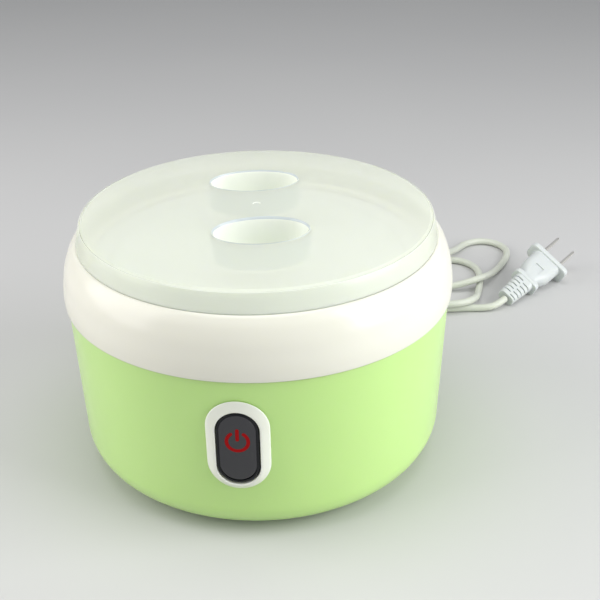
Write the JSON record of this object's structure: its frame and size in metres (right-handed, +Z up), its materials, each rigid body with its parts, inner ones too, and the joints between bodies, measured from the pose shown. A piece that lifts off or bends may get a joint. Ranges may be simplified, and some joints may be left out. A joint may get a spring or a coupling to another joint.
{
  "type": "yogurt maker",
  "caption": "Round countertop yogurt maker with a tapered body, a domed collar, a lift-off lid with finger wells, an inner pot, a push button and a mains lead.",
  "frame": {"origin": "centre of the footprint, at the bottom of the feet", "axes": "+Z up along the body's axis, -Y towards the button at the front"},
  "size_m": [0.2667, 0.3108, 0.1198],
  "materials": {
    "green_gloss": "smooth gloss",
    "cream_gloss": "smooth gloss",
    "pale_mint_gloss": "smooth gloss",
    "inner_plastic": "satin",
    "frosted_lid": "satin, slightly translucent",
    "silicone_seal": "matte",
    "pot_steel": "fine brushed",
    "bezel_white": "smooth gloss",
    "button_black": "gloss",
    "panel_grey": "satin",
    "symbol_red": "satin, translucent",
    "switch_black": "moulded",
    "led_red": "clear-tinted",
    "fitting_plastic": "moulded",
    "cover_plastic": "fine texture",
    "foot_rubber": "matte",
    "screw_steel": "plated",
    "spreader_aluminium": "mill",
    "heater_ceramic": "film-wrapped",
    "fuse_case": "ceramic",
    "lead_sheath": "satin PVC",
    "wire_brown": "PVC",
    "wire_blue": "PVC",
    "plug_white": "satin PVC",
    "pin_metal": "nickel-plated"
  },
  "bodies": {
    "base": {"base_cover": "cover_plastic", "base_screw_1": "screw_steel", "base_screw_2": "screw_steel", "base_screw_3": "screw_steel", "base_screw_4": "screw_steel", "collar_ring": "cream_gloss", "cord_clamp": "fitting_plastic", "cord_clamp_screw_1": "screw_steel", "cord_clamp_screw_2": "screw_steel", "cord_inner_end": "lead_sheath", "cord_strain_relief": "lead_sheath", "foot_1": "foot_rubber", "foot_2": "foot_rubber", "foot_3": "foot_rubber", "foot_4": "foot_rubber", "heat_spreader": "spreader_aluminium", "heater_clamp": "screw_steel", "heater_screw_1": "screw_steel", "heater_screw_2": "screw_steel", "heating_chamber": "inner_plastic", "indicator_led": "led_red", "outer_shell": "green_gloss", "plug_body": "plug_white", "plug_pin_1": "pin_metal", "plug_pin_2": "pin_metal", "power_cord": "lead_sheath", "ptc_heater": "heater_ceramic", "switch_bezel": "bezel_white", "switch_holder": "fitting_plastic", "switch_module": "switch_black", "thermal_fuse": "fuse_case", "wire_heater_link": "wire_blue", "wire_live": "wire_brown", "wire_neutral": "wire_blue", "wire_switched": "wire_brown"},
    "button": {"power_button": "button_black", "button_panel": "panel_grey", "power_symbol": "symbol_red", "switch_plunger": "fitting_plastic"},
    "pot": {"inner_pot": "pot_steel"},
    "pot_lid": {"pot_lid": "frosted_lid", "pot_lid_seal": "silicone_seal"},
    "outer_lid": {"outer_lid": "pale_mint_gloss"}
  },
  "joints": [
    {"name": "button_press", "type": "slide", "parent": "base", "child": "button", "axis": [0, 1, 0], "range_m": [0, 0.002], "stiffness_N_per_m": 400, "springref_m": -0.0015},
    {"name": "pot_lift", "type": "slide", "parent": "base", "child": "pot", "axis": [0, 0, 1], "range_m": [0, 0.11]},
    {"name": "pot_lid_lift", "type": "slide", "parent": "pot", "child": "pot_lid", "axis": [0, 0, 1], "range_m": [0, 0.05]},
    {"name": "outer_lid_lift", "type": "slide", "parent": "pot_lid", "child": "outer_lid", "axis": [0, 0, 1], "range_m": [0, 0.06]}
  ]
}
